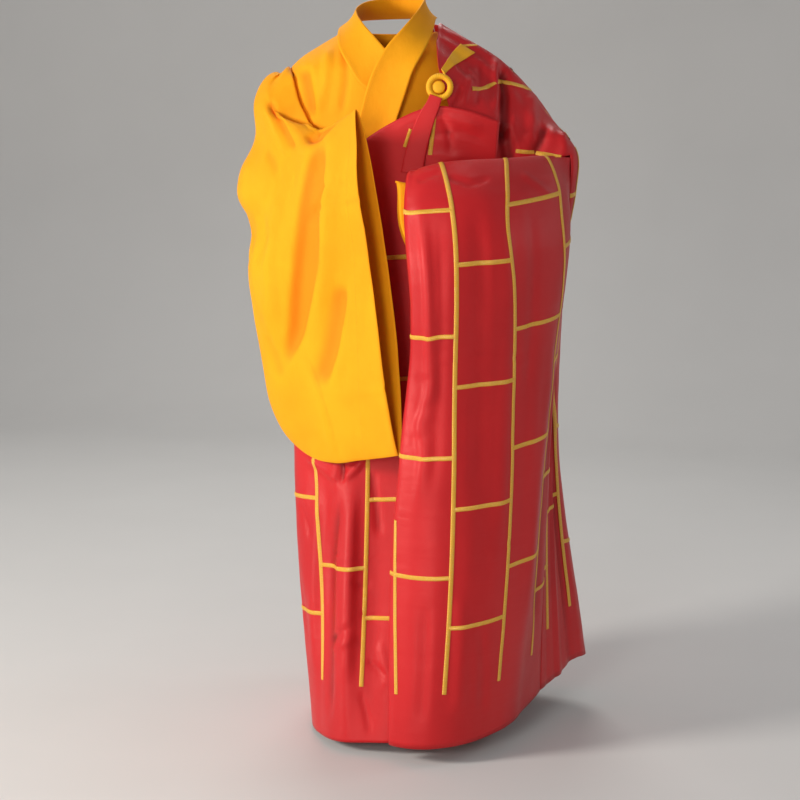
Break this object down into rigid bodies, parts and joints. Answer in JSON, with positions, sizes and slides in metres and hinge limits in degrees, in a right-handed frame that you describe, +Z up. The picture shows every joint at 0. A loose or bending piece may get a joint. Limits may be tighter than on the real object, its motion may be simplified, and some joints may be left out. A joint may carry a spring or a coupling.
{
  "type": "worn wide-sleeved monk robe with a crossed collar and an over-mantle with its clasp",
  "caption": "Worn wide-sleeved crossed-collar robe under a brick-patterned mantle wrapped over the left shoulder and forearm, held by a ring clasp.",
  "frame": {"origin": "centre of the neck opening at the base of the neck, where the wearer's shoulders hold the garment up", "axes": "+Z up, -Y to the front, +X to the wearer's left"},
  "size_m": [0.6634, 0.5607, 1.3771],
  "materials": {
    "yellow_cotton": "plain-weave cotton, matt",
    "red_satin": "satin with a soft sheen",
    "gold_braid": "metallic braid",
    "yellow_wrapped": "cloth-covered"
  },
  "bodies": {
    "root": {"robe_front_left": "yellow_cotton", "robe_front_right": "yellow_cotton", "robe_back": "yellow_cotton", "robe_collar": "yellow_cotton", "robe_sleeve_right": "yellow_cotton", "robe_sleeve_left": "yellow_cotton", "mantle_wrap": "red_satin", "mantle_side": "red_satin", "mantle_forearm_drape": "red_satin", "mantle_wrap_trim": "gold_braid", "mantle_side_trim": "gold_braid", "mantle_forearm_trim": "gold_braid", "clasp_ring": "yellow_wrapped", "clasp_hook": "yellow_wrapped", "clasp_strap": "yellow_wrapped", "clasp_tab": "red_satin"}
  },
  "joints": []
}
